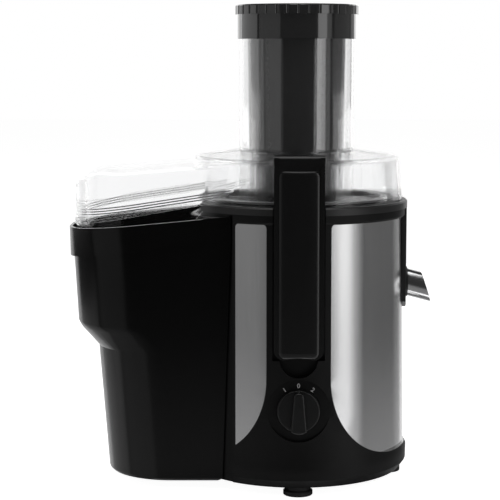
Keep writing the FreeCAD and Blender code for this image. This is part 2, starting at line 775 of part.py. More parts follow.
def hood_side(inset):
    """Hood in front view: sloping top, rounded left end and stepped skirt."""
    crown = bowl_top_z + hood_crown_height - inset
    end = bowl_top_z + hood_end_height - inset
    left_top = bowl_top_z + hood_top_left
    reach = hood_reach - inset
    round_x = (reach - hood_crown_x) * 0.7071
    skirt = bin_rim_z(hood_reach) - hood_skirt
    drop = 40.0 if inset else 0.0
    knee = dock_top_radius + 3.5
    over_flange = math.sqrt(rim_radius ** 2 - (hood_half - hood_wall) ** 2) + part_gap
    inner_x = 0.0 if inset else hood_mouth_x
    corner = 0.0 if inset else hood_top_round
    slope = (end - crown) / (hood_crown_x - hood_mouth_x)
    return prism("xz", -far, far, (-reach, skirt - drop), (-reach, left_top),
                 ((-hood_crown_x - round_x, left_top + (crown - left_top) * 0.7071),
                  (-hood_crown_x, crown)),
                 (-hood_mouth_x - corner, end - corner * slope),
                 *([] if inset else [((-inner_x - corner * 0.2929, end - corner * 0.2929),
                                      (-inner_x, end - corner))]),
                 *([(-inner_x, end)] if inset else []), (-inner_x, bowl_top_z - drop),
                 (-over_flange, bowl_top_z - drop),
                 (-knee, bin_rim_z(knee) - hood_skirt - drop))


def lid():
    outer = lid_form(0).fuse(hood_plan(0).common(hood_side(0)))
    gate, foot = lid_gate(), block(-far, far, -far, far, 0, step_z)
    outer = outer.fuse(lid_form(lid_step).common(gate.fuse(to_rear(gate)).fuse(foot)))
    for k in range(hood_ridges):
        outer = outer.fuse(hood_ridge_bar(k * hood_ridge_pitch))
    outer = outer.fuse(disc(tube_radius, crown_z - lid_wall, tube_top_z))
    hood_inner = hood_plan(hood_wall).common(hood_side(hood_wall))
    window = block(-far, 0, -passage_half, passage_half, bowl_top_z - 1,
                   shoulder_z - passage_drop)
    hood_inner = hood_inner.cut(lid_form(0)).fuse(hood_inner.common(window))
    shell = outer.cut(lid_form(-lid_wall)).cut(hood_inner)
    shell = shell.fuse(disc(tube_radius, tube_tip_z, crown_z - lid_wall / 2))
    return shell.cut(disc(tube_radius - tube_wall, tube_tip_z - 1, tube_top_z + 1)).removeSplitter()


# ------------------------------------------------------------------ bin
def bin_section(z, left, grow):
    """Plan of the bin at one height; grow is outwards on every side."""
    inner = dock_radius(z) + bin_gap - grow
    half = bin_half + grow
    corner = bin_corner + grow
    left = left + grow
    right = math.sqrt(inner * inner - half * half)
    bulge = corner * (1 - math.sqrt(0.5))
    wire = outline("xy", (-right, -half), (-left + corner, -half),
                   ((-left + bulge, -half + bulge), (-left, -half + corner)),
                   (-left, half - corner),
                   ((-left + bulge, half - bulge), (-left + corner, half)),
                   (-right, half), ((-inner, 0), (-right, -half)))
    wire.translate(Vector(0, 0, z))
    return wire


def bin_left(height):
    """Left reach of the bin wall at a height above the underside of the base."""
    stations = [(0, bin_bottom_left), (bin_knee_height, bin_knee_left),
                (bin_bend_height, bin_bend_left), (bin_shoulder_height, bin_shoulder_left),
                (bin_band_height, bin_band_left), (bin_rim_height, bin_rim_left)]
    for (h0, x0), (h1, x1) in zip(stations, stations[1:]):
        if height <= h1:
            break
    return x0 + (x1 - x0) * (height - h0) / (h1 - h0)


def bin_solid(grow, bottom, top_height):
    heights = [bottom, bottom + bin_bottom_round / 2, bottom + bin_bottom_round,
               bin_knee_height, bin_bend_height, bin_shoulder_height, bin_band_height, top_height]
    rounds = {0: bin_bottom_round * 0.62, 1: bin_bottom_round * 0.16}
    wires = []
    for k, height in enumerate(heights):
        wires.append(bin_section(underside_z + height, bin_left(height),
                                 grow - rounds.get(k, 0.0)))
    return Part.makeLoft(wires, True, True)


def above_slope(x, z, degrees):
    """Half space above a plane that rises to the right through (x, z)."""
    half = block(-far, far, -far, far, 0, far)
    half.rotate(Vector(0, 0, 0), Vector(0, 1, 0), -degrees)
    half.translate(Vector(x, 0, z))
    return half


def hook_bar(radius, half):
    """Round bar along Y at the pivot of the bin."""
    x = wall / 2 - dock_radius(notch_z)
    return rod(radius, Vector(x, -half, hook_pivot_z), Vector(x, half, hook_pivot_z))


def pulp_bin():
    top = bin_rim_height + bin_rim_left * math.tan(math.radians(bin_rim_slope))
    rim = above_slope(-bin_rim_left, underside_z + bin_rim_height, bin_rim_slope)
    band_z = underside_z + bin_band_height
    band = above_slope(-bin_band_left, band_z, bin_band_slope)
    band_floor = above_slope(-bin_band_left, band_z + bin_wall, bin_band_slope)
    not_dock = block(-far, -dock_shoulder - 1.3, -far, far, 0, far)
    outer = bin_solid(0, bin_bottom, top)
    proud = bin_solid(bin_band_step, bin_bottom, top).common(band).cut(
        turned([(0, 0), (dock_radius(0) + bin_gap, 0), (dock_radius(far) + bin_gap, far), (0, far)]))
    hollow = bin_solid(-bin_wall, bin_bottom + bin_wall, top)
    band_hollow = bin_solid(bin_band_step - bin_wall, bin_bottom + bin_wall, top).common(band_floor).cut(
        turned([(0, 0), (dock_radius(0) + bin_gap + bin_wall, 0),
                (dock_radius(far) + bin_gap + bin_wall, far), (0, far)]))
    shell = outer.fuse(proud).common(not_dock).cut(rim)
    shell = shell.cut(hollow.fuse(band_hollow).common(
        block(-far, -dock_shoulder - 1.3 - bin_wall, -far, far, 0, far)))
    half_turn = math.degrees(hook_half_width / dock_top_radius)
    inner = bowl_cup_radius + 2 * loose_gap
    outer_r = dock_radius(notch_z) + bin_gap + bin_wall / 2
    lip = sector(inner, outer_r, notch_z + hook_gap, notch_z + hook_gap + hook_lip,
                 180 - half_turn, 180 + half_turn)
    nib = sector(inner, inner + hook_nib, notch_z - hook_nib_drop, notch_z + 1,
                 180 - half_turn, 180 + half_turn)
    shell = shell.fuse(lip).fuse(nib)
    return shell.fuse(hook_bar(hook_bead, hook_half_width - part_gap)).removeSplitter()


# ------------------------------------------------------------------ latches
def arm_outline(half, top, low):
    """Front view of the arm: rounded lower corners and a shallow finger notch."""
    tip, rise = half * 0.52, 7.0
    return ((-half, low + rise), (-half, top), (half, top), (half, low + rise),
            ((half - 2.6, low + 2.2), (tip, low)), ((0, low + 2.6), (-tip, low)),
            ((-half + 2.6, low + 2.2), (-half, low + rise)))


def latch_arm():
    top, low = arm_lip_z + arm_lip, arm_bottom_z
    shoulder = arm_lip_z - arm_pad_top
    face = arm_front - arm_pad
    strip_front = face + arm_strip
    body = prism("xz", -strip_front, -arm_back, *arm_outline(arm_half, top, low))
    brow = [e for e in body.Edges if abs(e.BoundBox.ZMin - top) < 0.01
            and abs(e.BoundBox.YMax + strip_front) < 0.01]
    body = body.makeFillet(arm_brow, brow)
    body = body.cut(block(-far, far, -far, -face, 0, shoulder))
    for x0, x1 in ((-far, -arm_pad_half), (arm_pad_half, far)):
        body = body.cut(block(x0, x1, -far, -face, 0, far))
    body = body.fuse(prism("xz", -face, -arm_root, *arm_outline(arm_half, collar_z - 2.0, low)))
    body = body.cut(prism("xz", -face + arm_plate, -arm_root + 1,
                          *arm_outline(arm_half - arm_plate, arm_lip_z, low + arm_plate + 1.2)))
    pad = prism("xz", -arm_front, -face, *arm_outline(arm_pad_half, shoulder, low + 1.0))
    rim = [e for e in pad.Edges if abs(e.BoundBox.YMax + arm_front) < 0.01]
    pad = pad.makeFillet(arm_pad * 0.7, rim)
    lip = prism("xy", arm_lip_z, top, (-arm_half, -arm_back - 1), (-arm_half, -arm_back + 4),
                ((0, -arm_lip_reach), (arm_half, -arm_back + 4)), (arm_half, -arm_back - 1))
    ear_z = link_pivot_z - link_length
    arm = body.fuse(pad).fuse(lip)
    for side in (-1, 1):
        x0, x1 = sorted((side * (arm_pin_half - arm_ear), side * arm_pin_half))
        ear = rod_x(link_thickness / 2 + 0.6, x0, x1, link_axis, ear_z)
        web = block(x0, x1, -face + 1, -link_axis, ear_z - link_thickness / 2,
                    ear_z + link_thickness / 2)
        arm = arm.fuse(ear).fuse(web)
    rib = block(-plunger_radius, plunger_radius, -face + 1, -(channel_floor + 3.0),
                plunger_z - 2 * plunger_radius, plunger_z + 2 * plunger_radius)
    reach = arm_pin_half + 1
    bore = rod_x(arm_pin_radius + running_gap, -reach, reach, link_axis, ear_z)
    return arm.fuse(rib).cut(bore).removeSplitter()


def latch_link():
    low_z = link_pivot_z - link_length
    radius = link_thickness / 2
    link = rod_x(radius + 0.3, -link_half, link_half, link_axis, link_pivot_z)
    link = link.fuse(rod_x(radius, -link_half, link_half, link_axis, low_z))
    link = link.fuse(block(-link_half, link_half, -link_axis - radius + 0.4,
                           -link_axis + radius - 0.4, low_z, link_pivot_z))
    link = link.cut(rod_x(link_pin_radius + running_gap, -far, far, link_axis, link_pivot_z))
    return link.cut(rod_x(arm_pin_radius + running_gap, -far, far, link_axis, low_z))


def link_pin():
    return rod_x(link_pin_radius, -link_pin_half, link_pin_half, link_axis, link_pivot_z)


def arm_pin():
    return rod_x(arm_pin_radius, -arm_pin_half, arm_pin_half, link_axis,
                 link_pivot_z - link_length)


def plunger():
    tip = channel_floor + 3.0 - loose_gap
    head = channel_floor - wall - 2.0
    bar = rod_y(plunger_radius, head - plunger_head, tip, plunger_z)
    return bar.fuse(rod_y(plunger_radius + 1.5, head - plunger_travel - 3.5,
                          head - plunger_travel - 1.5, plunger_z)).removeSplitter()


def interlock_switch():
    back = channel_floor - wall - 2.0 - plunger_head - loose_gap
    return block(-interlock_half, interlock_half, -back, interlock_depth - back,
                 plunger_z - interlock_height / 2, plunger_z + interlock_height / 2)


# ------------------------------------------------------------------ knob and switch
def speed_knob():
    back = dial_floor + loose_gap
    skirt = rod_y(knob_radius, back, back + knob_skirt, knob_z)
    rim = [e for e in skirt.Edges if abs(e.BoundBox.YMin + back + knob_skirt) < 0.01
           and e.BoundBox.YLength < 0.01]
    skirt = skirt.makeFillet(1.2, rim)
    half, reach = knob_grip_half, knob_radius - 0.4
    grip = prism("xz", -knob_front, -back - knob_skirt + 0.5,
                 (-half * 0.75, knob_z + reach - 1.5),
                 ((0, knob_z + reach), (half * 0.75, knob_z + reach - 1.5)),
                 (half * 1.25, knob_z - reach + 2.0),
                 ((0, knob_z - reach), (-half * 1.25, knob_z - reach + 2.0)))
    front = [e for e in grip.Edges if abs(e.BoundBox.YMax + knob_front) < 0.01]
    grip = grip.makeFillet(1.4, front)
    knob = skirt.fuse(grip)
    bore = rod_y(spindle_radius + running_gap, 0, back + knob_skirt + spindle_head + 0.5, knob_z)
    return knob.cut(bore).removeSplitter()


def switch_spindle():
    return rod_y(spindle_radius, dial_floor - wall - spindle_tail,
                 dial_floor + knob_skirt + spindle_head, knob_z)


def rotary_switch():
    front = dial_floor - wall
    body = block(-switch_half, switch_half, -front, switch_depth - front,
                 knob_z - switch_half, knob_z + switch_half)
    return body.cut(rod_y(spindle_radius + running_gap, front - spindle_tail - 1, front + 1, knob_z))


# ------------------------------------------------------------------ motor
def bracket(plate_z, legs_low, legs_high, cup_low, cup_high):
    """Motor end bracket: bridge plate, two legs to the core and a bearing cup."""
    plate = block(-core_radius + 1, core_radius - 1, -bracket_half, bracket_half,
                  plate_z, plate_z + bracket_plate)
    shape = plate.fuse(disc(bearing_radius + 2.5, cup_low, cup_high))
    for side in (-1, 1):
        x0, x1 = sorted((side * (core_flat - bracket_leg), side * core_flat))
        shape = shape.fuse(block(x0, x1, -bracket_half, bracket_half, legs_low, legs_high))
    return shape


def upper_bracket():
    top = upper_plate_z + bracket_plate
    shape = bracket(upper_plate_z, core_top_z, top, top - 2, top + upper_cup)
    shape = shape.cut(disc(bearing_radius, top - 1, top + bearing_width))
    shape = shape.cut(disc(shaft_radius + shaft_clearance, core_top_z, top + 1))
    for x in (-motor_screw_x, motor_screw_x):
        for y in (-motor_screw_y, motor_screw_y):
            shape = shape.cut(disc(motor_screw_radius + 0.2, core_top_z - 1, top + 1, x, y))
            shape = shape.cut(disc(3.4, core_top_z - 1, upper_plate_z, x, y))
    return shape.removeSplitter()


def lower_bracket():
    top = lower_plate_z + bracket_plate
    shape = bracket(lower_plate_z, top - 1, core_bottom_z, lower_plate_z,
                    lower_plate_z + lower_cup)
    shape = shape.cut(disc(bearing_radius, lower_plate_z - 1, lower_plate_z + bearing_width))
    return shape.cut(disc(shaft_radius + shaft_clearance, lower_plate_z,
                          lower_plate_z + lower_cup + 1)).removeSplitter()


def bearing(low):
    return ring(bearing_radius, shaft_radius + running_gap, low, low + bearing_width)


def motor_screws():
    screws = []
    for x in (-motor_screw_x, motor_screw_x):
        for y in (-motor_screw_y, motor_screw_y):
            head = disc(3.0, upper_plate_z - 2.2, upper_plate_z, x, y)
            shank = disc(motor_screw_radius, upper_plate_z, deck_top_z, x, y)
            screws.append(head.fuse(shank).removeSplitter())
    return Part.makeCompound(screws)


def motor_bushes():
    low = upper_plate_z + bracket_plate
    bushes = [ring(bush_radius, motor_screw_radius + 0.2, low, deck_z, x, y)
              for x in (-motor_screw_x, motor_screw_x) for y in (-motor_screw_y, motor_screw_y)]
    return Part.makeCompound(bushes)


def stator_core():
    core = disc(core_radius, core_bottom_z, core_top_z).common(
        block(-core_flat, core_flat, -far, far, 0, far))
    core = core.cut(disc(armature_radius + air_gap, 0, far))
    for angle in (40, 140, 220, 320):
        core = core.cut(sector(coil_inner - 0.5, coil_outer + 0.5, core_bottom_z - 1, core_top_z + 1,
                               angle - 12, angle + 12))
    return core


def field_coils():
    coil = sector(coil_inner, coil_outer, core_bottom_z - end_turn, core_top_z + end_turn, 30, 150)
    coil = coil.cut(sector(coil_inner - 1, coil_outer + 1, core_bottom_z - 0.5, core_top_z + 0.5,
                           50, 130))
    return Part.makeCompound(around(coil, (0, 180)))


def brushes():
    reach, high = commutator_radius + loose_gap, brush_z + brush_height
    brush = block(0, reach + brush_length, -brush_half, brush_half, brush_z, high)
    brush = brush.cut(disc(reach, brush_z - 1, high + 1))
    return Part.makeCompound(around(brush, (0, 180)))


def brush_holders():
    start = commutator_radius + 3.0
    end = start + holder_length
    half = brush_half + brush_gap
    low, high = brush_z - brush_gap, brush_z + brush_height + brush_gap
    side = half + holder_wall
    holder = block(start, end, -side, side, low - holder_wall, high + holder_wall)
    holder = holder.cut(block(start - 1, end - holder_wall, -half, half, low, high))
    foot = block(start + 4, end, -side, side, lower_plate_z + bracket_plate, low - holder_wall)
    return Part.makeCompound(around(holder.fuse(foot).removeSplitter(), (0, 180)))


def motor_shaft():
    return disc(shaft_radius, shaft_end_z, basket_z - 1.0)


def on_shaft(shape):
    """Bored to sit on the motor shaft."""
    return shape.cut(disc(shaft_radius + running_gap / 5, 0, far))


def armature_core():
    core = disc(armature_radius, core_bottom_z, core_top_z)
    slot = block(armature_radius - 6.5, armature_radius + 1, -1.0, 1.0, 0, far)
    for tool in around(slot, spread(12)):
        core = core.cut(tool)
    return on_shaft(core)


def armature_windings():
    parts = []
    for base, way in ((core_top_z, 1), (core_bottom_z, -1)):
        parts.append(on_shaft(turned([(0, base), (armature_radius - 2, base),
                                      (armature_radius - 3.5, base + way * end_turn * 0.6),
                                      (10, base + way * end_turn), (0, base + way * end_turn)])))
    return Part.makeCompound(parts)


def commutator():
    low = brush_z - (commutator_height - brush_height) / 2
    drum = disc(commutator_radius, low, low + commutator_height)
    groove = block(commutator_radius - 0.6, commutator_radius + 1, -0.25, 0.25, 0, far)
    for tool in around(groove, spread(16)):
        drum = drum.cut(tool)
    return on_shaft(drum)


def cooling_fan():
    fan = disc(9, fan_bottom_z, fan_top_z).fuse(disc(fan_radius - 2, fan_top_z - 1.5, fan_top_z))
    blade = block(8, fan_radius, -0.7, 0.7, fan_bottom_z, fan_top_z - 1)
    blade.rotate(Vector(8, 0, 0), Vector(0, 0, 1), 22)
    for tool in around(blade, spread(fan_blades)):
        fan = fan.fuse(tool)
    return on_shaft(fan.removeSplitter())


def shaft_seal():
    return ring(boss_bore, shaft_radius + running_gap, boss_top_z - seal_height, boss_top_z)


# ------------------------------------------------------------------ basket
def lobed(radius, low, high):
    """Round drive with raised lobes, or the matching socket."""
    shape = disc(radius - 1.6, low, high)
    lobe = block(0, radius, -1.8 - (radius - coupling_radius), 1.8 + (radius - coupling_radius),
                 low, high)
    for tool in around(lobe, spread(coupling_lobes)):
        shape = shape.fuse(tool)
    return shape.common(disc(radius, low, high)).removeSplitter()


def drive_coupling():
    return on_shaft(lobed(coupling_radius, basket_z - coupling_height + 1.0, basket_z))


def basket_base():
    plate = turned([(0, basket_z), (basket_bottom_radius - 2, basket_z),
                    (basket_bottom_radius, basket_z + 1.5), (basket_bottom_radius, basket_floor_z),
                    (0, basket_floor_z)])
    sleeve = disc(hub_collar_radius - part_gap, basket_z - coupling_height + 2.0, basket_z + 1)
    skirt = ring(hub_collar_radius + hub_collar_wall + 4.0, hub_collar_radius + hub_collar_wall + 2.0,
                 basket_z - 6, basket_z + 1)
    base = plate.fuse(sleeve).fuse(skirt)
    socket = lobed(coupling_radius + 0.15, basket_z - coupling_height, basket_z + 0.4)
    return base.cut(socket).removeSplitter()


def filter_mesh():
    low, high = basket_floor_z, basket_flange_z
    run = (basket_top_radius - basket_bottom_radius) / (high - low)

    def cone(inset):
        return turned([(0, low), (basket_bottom_radius - inset, low),
                       (basket_top_radius - inset, high), (0, high)])
    sheet = cone(0).cut(cone(mesh_sheet))
    slot = block(0, far, -0.6, 0.6, low + 5, high - 6)
    for tool in around(slot, spread(mesh_slots)):
        sheet = sheet.cut(tool)
    return sheet


def basket_rim():
    low, high = basket_flange_z, basket_flange_z + basket_flange
    inner = basket_top_radius - mesh_sheet
    return turned([(inner, low), (basket_flange_radius, low), (basket_flange_radius, high),
                   (inner - 2.0, high), (inner - 2.0, low - 3.0), (inner - 1.4, low - 3.0)])


def grater_disc():
    top = basket_floor_z + grater_sheet
    plate = disc(grater_radius, basket_floor_z, top)
    hub = turned([(0, top - 0.5), (9.0, top - 0.5), (6.0, top + tooth_height * 0.8),
                  (0, top + tooth_height)])
    plate = plate.fuse(hub)
    rings = len(grater_teeth)
    for k, count in enumerate(grater_teeth):
        radius = grater_radius - 4.0 - (rings - 1 - k) * 11.0
        tooth = prism("yz", 0, 2.2, (-1.6, top - 0.4), (1.6, top - 0.4), (0.4, top + tooth_height))
        tooth.translate(Vector(radius - 1.1, 0, 0))
        for copy in around(tooth, spread(count, 7.0 * k)):
            plate = plate.fuse(copy)
    return plate.removeSplitter()


# ------------------------------------------------------------------ pusher
def pusher_body():
    low, high = pusher_bottom_z, tube_top_z
    outer = turned([(0, low), (pusher_bottom_radius - 2, low), (pusher_bottom_radius, low + 2),
                    (pusher_top_radius, high), (0, high)])
    inner = turned([(0, low + pusher_wall), (pusher_bottom_radius - pusher_wall, low + pusher_wall),
                    (pusher_top_radius - pusher_wall, high), (0, high)])
    return outer.cut(inner)


def pusher_cap():
    low = tube_top_z
    flange_z = low + cap_collar
    top_z = flange_z + cap_flange
    dome_reach = cap_flange_radius - cap_edge
    dome_radius = (dome_reach ** 2 + cap_dome ** 2) / (2 * cap_dome)
    cap = disc(cap_collar_radius, low, flange_z)
    flange = turned([(0, flange_z), (cap_flange_radius, flange_z),
                     (cap_flange_radius, top_z - 1.0), (cap_flange_radius - 1.2, top_z), (0, top_z)])
    notch = rod(1.3, Vector(cap_flange_radius + 0.55, 0, flange_z - 1),
                Vector(cap_flange_radius + 0.55, 0, top_z + 1))
    for tool in around(notch, spread(cap_notches)):
        flange = flange.cut(tool)
    dome = Part.makeSphere(dome_radius, Vector(0, 0, top_z + cap_dome - dome_radius))
    dome = dome.common(disc(dome_reach + 1, top_z, top_z + cap_dome + 1))
    cap = cap.fuse(flange).fuse(dome)
    inner = turned([(0, low - 1), (pusher_top_radius - pusher_wall, low - 1),
                    (pusher_top_radius - pusher_wall, top_z - pusher_wall), (0, top_z - pusher_wall)])
    return cap.cut(inner).removeSplitter()


# ------------------------------------------------------------------ nodes
NODES = {
    "motor_housing": housing,
    "base_cover": base_cover,
    "suction_feet": suction_feet,
    "bottom_screws": bottom_screws,
    "cord_gland": cord_gland,
    "right_panel": right_panel,
    "front_left_panel": lambda: left_panel(-1),
    "rear_left_panel": lambda: left_panel(1),
    "juice_bowl": juice_bowl,
    "juice_spout": juice_spout,
    "lid": lid,
    "pulp_bin": pulp_bin,
    "pusher_body": pusher_body,
    "pusher_cap": pusher_cap,
    "speed_knob": speed_knob,
    "switch_spindle": switch_spindle,
    "rotary_switch": rotary_switch,
    "upper_bracket": upper_bracket,
    "lower_bracket": lower_bracket,
    "upper_bearing": lambda: bearing(upper_plate_z + bracket_plate - 1),
    "lower_bearing": lambda: bearing(lower_bearing_z),
    "motor_screws": motor_screws,
    "motor_bushes": motor_bushes,
    "stator_core": stator_core,
    "field_coils": field_coils,
    "carbon_brushes": brushes,
    "brush_holders": brush_holders,
    "shaft_seal": shaft_seal,
    "motor_shaft": motor_shaft,
    "armature_core": armature_core,
    "armature_windings": armature_windings,
    "commutator": commutator,
    "cooling_fan": cooling_fan,
    "drive_coupling": drive_coupling,
    "basket_base": basket_base,
    "filter_mesh": filter_mesh,
    "basket_rim": basket_rim,
    "grater_disc": grater_disc,
}
for side, place in (("front", lambda shape: shape), ("rear", to_rear)):
    for name, make in (("latch_arm", latch_arm), ("latch_link", latch_link),
                       ("link_pin", link_pin), ("arm_pin", arm_pin),
                       ("plunger", plunger), ("interlock_switch", interlock_switch)):
        NODES[f"{side}_{name}"] = lambda make=make, place=place: place(make())

# the origin is the bottom centre of the bounding box
left_reach = bin_rim_left + bin_band_step
mouth_lean = math.radians(spout_slope + spout_rake)
right_reach = spout_tip.x + (spout_radius * math.sin(math.radians(spout_rake))
                            / math.cos(mouth_lean))
to_origin = Vector((left_reach - right_reach) / 2, (knob_front - arm_front) / 2, 0)

os.makedirs("parts", exist_ok=True)
for name, make in NODES.items():
    shape = make()
    shape.translate(to_origin)
    box = shape.BoundBox
    print(f"{name:20s} solids {len(shape.Solids)} valid {shape.isValid()} faces {len(shape.Faces)}"
          f" x {box.XMin:.1f}..{box.XMax:.1f} y {box.YMin:.1f}..{box.YMax:.1f}"
          f" z {box.ZMin:.1f}..{box.ZMax:.1f}")
    shape.exportStep(f"parts/{name}.step")
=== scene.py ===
import json
import math

import bmesh
import bpy
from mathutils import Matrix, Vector


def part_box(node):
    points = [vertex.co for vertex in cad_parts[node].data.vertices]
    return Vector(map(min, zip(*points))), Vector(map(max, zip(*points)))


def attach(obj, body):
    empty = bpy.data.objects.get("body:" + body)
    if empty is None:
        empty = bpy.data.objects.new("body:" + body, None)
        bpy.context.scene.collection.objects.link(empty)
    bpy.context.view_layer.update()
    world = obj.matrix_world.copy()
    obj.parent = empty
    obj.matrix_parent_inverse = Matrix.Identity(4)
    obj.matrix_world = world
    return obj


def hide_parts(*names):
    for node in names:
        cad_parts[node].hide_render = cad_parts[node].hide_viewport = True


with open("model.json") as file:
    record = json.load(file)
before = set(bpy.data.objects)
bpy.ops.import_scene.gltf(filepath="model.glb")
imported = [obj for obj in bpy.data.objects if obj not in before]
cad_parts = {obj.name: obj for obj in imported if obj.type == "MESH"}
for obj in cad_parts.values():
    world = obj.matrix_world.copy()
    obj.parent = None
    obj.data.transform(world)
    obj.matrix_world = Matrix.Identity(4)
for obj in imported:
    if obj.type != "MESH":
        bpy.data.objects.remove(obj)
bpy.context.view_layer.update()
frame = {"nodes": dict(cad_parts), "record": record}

# Centrifugal juicer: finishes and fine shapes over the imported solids.
# The machine's sizes are written in millimetres and multiplied by MM. The studio's sizes and
# the depth of a finish's relief are in metres.

MM = 0.001
WHITE = (1.0, 1.0, 1.0)
nodes = frame["nodes"]
slot_of = {part["node"]: part["material_slot"] for part in frame["record"]["subparts"]}
body_of = {name: body for body, names in frame["record"]["behaviour"]["bodies"].items()
           for name in names}


def middle(node):
    low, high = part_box(node)
    return (low + high) / 2


AXIS = middle("motor_shaft")             # the motor axis
AXIS.z = 0.0


def at(x, y, z):
    """A place given in millimetres from the motor axis and the table."""
    return Vector((AXIS.x + x * MM, AXIS.y + y * MM, z * MM))


# ------------------------------------------------------------------ nodes
class Value:
    """A socket that can be used in arithmetic; each operation adds a Math node."""

    def __init__(self, finish, socket):
        self.finish, self.socket = finish, socket

    def math(self, operation, first, second):
        return self.finish.node("ShaderNodeMath", {"operation": operation},
                                {0: first, 1: second})

    def __add__(self, other):
        return self.math("ADD", self, other)

    def __radd__(self, other):
        return self.math("ADD", other, self)

    def __sub__(self, other):
        return self.math("SUBTRACT", self, other)

    def __rsub__(self, other):
        return self.math("SUBTRACT", other, self)

    def __mul__(self, other):
        return self.math("MULTIPLY", self, other)

    def __rmul__(self, other):
        return self.math("MULTIPLY", other, self)

    def __gt__(self, level):
        return self.math("GREATER_THAN", self, level)

    def at_least(self, other):
        return self.math("MAXIMUM", self, other)


class Finish:
    """A material, or the studio's world, built from nodes."""

    def __init__(self, name, world=False):
        self.owner = (bpy.data.worlds if world else bpy.data.materials).new(name)
        self.owner.use_nodes = True
        self.tree = self.owner.node_tree
        self.tree.nodes.clear()
        self.output = "ShaderNodeOutputWorld" if world else "ShaderNodeOutputMaterial"
        if not world:
            self.place = self.node("ShaderNodeTexCoord", {}, {}, "Object")

    def node(self, kind, settings, sockets, output=0):
        """Adds a node: its settings first, then values or links for its sockets."""
        made = self.tree.nodes.new(kind)
        for key, value in settings.items():
            setattr(made, key, value)
        for key, value in sockets.items():
            if isinstance(key, int):
                socket = made.inputs[key]
            else:
                socket = next(s for s in made.inputs if key in (s.identifier, s.name))
            if isinstance(value, Value):
                self.tree.links.new(value.socket, socket)
            elif isinstance(value, tuple) and len(value) == 3 and socket.type == "RGBA":
                socket.default_value = (*value, 1.0)
            else:
                socket.default_value = value
        if len(made.outputs):
            return Value(self, made.outputs[output])

    def stretched(self, scale):
        """Object coordinates scaled per axis, for grain that runs one way."""
        return self.node("ShaderNodeMapping", {}, {"Vector": self.place, "Scale": scale})

    def position(self, axis):
        """Object coordinate along one axis, in metres."""
        return self.node("ShaderNodeSeparateXYZ", {}, {"Vector": self.place}, axis)

    def noise(self, scale, detail, place=None, roughness=0.5):
        return self.node("ShaderNodeTexNoise", {}, {"Vector": place or self.place,
                                                    "Scale": scale, "Detail": detail,
                                                    "Roughness": roughness})

    def tint(self, factor, first, second):
        return self.node("ShaderNodeMix", {"data_type": "RGBA"},
                         {"Factor_Float": factor, "A_Color": first, "B_Color": second}, 2)

    def bump(self, height, strength, distance):
        return self.node("ShaderNodeBump", {}, {"Height": height, "Strength": strength,
                                                "Distance": distance})

    def ray(self, kind):
        return self.node("ShaderNodeLightPath", {}, {}, f"Is {kind} Ray")

    def mix(self, factor, first, second):
        return self.node("ShaderNodeMixShader", {}, {0: factor, 1: first, 2: second})

    def join(self, first, second):
        return self.node("ShaderNodeAddShader", {}, {0: first, 1: second})

    def diffuse(self, colour):
        return self.node("ShaderNodeBsdfDiffuse", {}, {"Color": colour})

    def glow(self, strength):
        return self.node("ShaderNodeEmission", {}, {"Color": WHITE, "Strength": strength})

    def surface(self, **sockets):
        """Principled surface; an underscore stands for a space in a socket's name."""
        named = {key.replace("_", " "): value for key, value in sockets.items()}
        return self.node("ShaderNodeBsdfPrincipled", {}, named)

    def done(self, shader):
        self.node(self.output, {}, {"Surface": shader})
        return self.owner


# ------------------------------------------------------------------ finishes
def grey(level):
    return (level, level, level * 1.004)


def moulded(name, shade, rough, coat=0.0, shine=0.5):
    """Black or dark moulded plastic: faint flow marks, fine grain and a little dust dulling."""
    f = Finish(name)
    flow = f.noise(7.0, 3.0)
    speck = f.noise(420.0, 2.0)
    haze = f.noise(38.0, 4.0, roughness=0.6)
    colour = f.tint(flow * 0.6 + speck * 0.4, grey(shade * 0.8), grey(shade * 1.25))
    gloss = rough * 0.8 + haze * (rough * 0.4) + speck * (rough * 0.12)
    relief = f.bump(speck * 0.5 + haze * 0.5, 0.25, 0.00003)
    return f.done(f.surface(Base_Color=colour, Roughness=gloss, Normal=relief, IOR=1.5,
                            Specular_IOR_Level=shine, Coat_Weight=coat,
                            Coat_Roughness=0.04))


def brushed(name, shade, rough, along):
    """Rolled metal with hairline grain along one axis."""
    fine, drawn_out = 900.0, 110.0
    f = Finish(name)
    stretch = [fine, fine, fine]
    stretch[along] = fine / drawn_out
    hair = f.noise(1.0, 3.0, f.stretched(tuple(stretch)), 0.6)
    broad = f.noise(0.14, 2.0, f.stretched(tuple(stretch)))
    wear = f.noise(9.0, 3.0)
    colour = f.tint(hair * 0.7 + wear * 0.3, grey(shade * 0.88), grey(shade * 1.08))
    gloss = rough * 0.75 + hair * (rough * 0.35) + broad * (rough * 0.2)
    relief = f.bump(hair * 0.8 + broad * 0.2, 0.18, 0.00002)
    return f.done(f.surface(Base_Color=colour, Metallic=1.0, Roughness=gloss, Normal=relief))


def cast_metal(name, colour, rough, metal=1.0):
    """Cast, plated or varnished metal with fine grain and patches of tarnish."""
    f = Finish(name)
    grain = f.noise(300.0, 3.0)
    tarnish = f.noise(16.0, 4.0)
    dark = tuple(channel * 0.72 for channel in colour)
    shade = f.tint(tarnish * 0.7 + grain * 0.3, dark, colour)
    gloss = rough * 0.7 + grain * (rough * 0.6)
    return f.done(f.surface(Base_Color=shade, Metallic=metal, Roughness=gloss,
                            Normal=f.bump(grain, 0.3, 0.00004)))


FULL_BEND = 1.47                         # index of refraction of a full wall


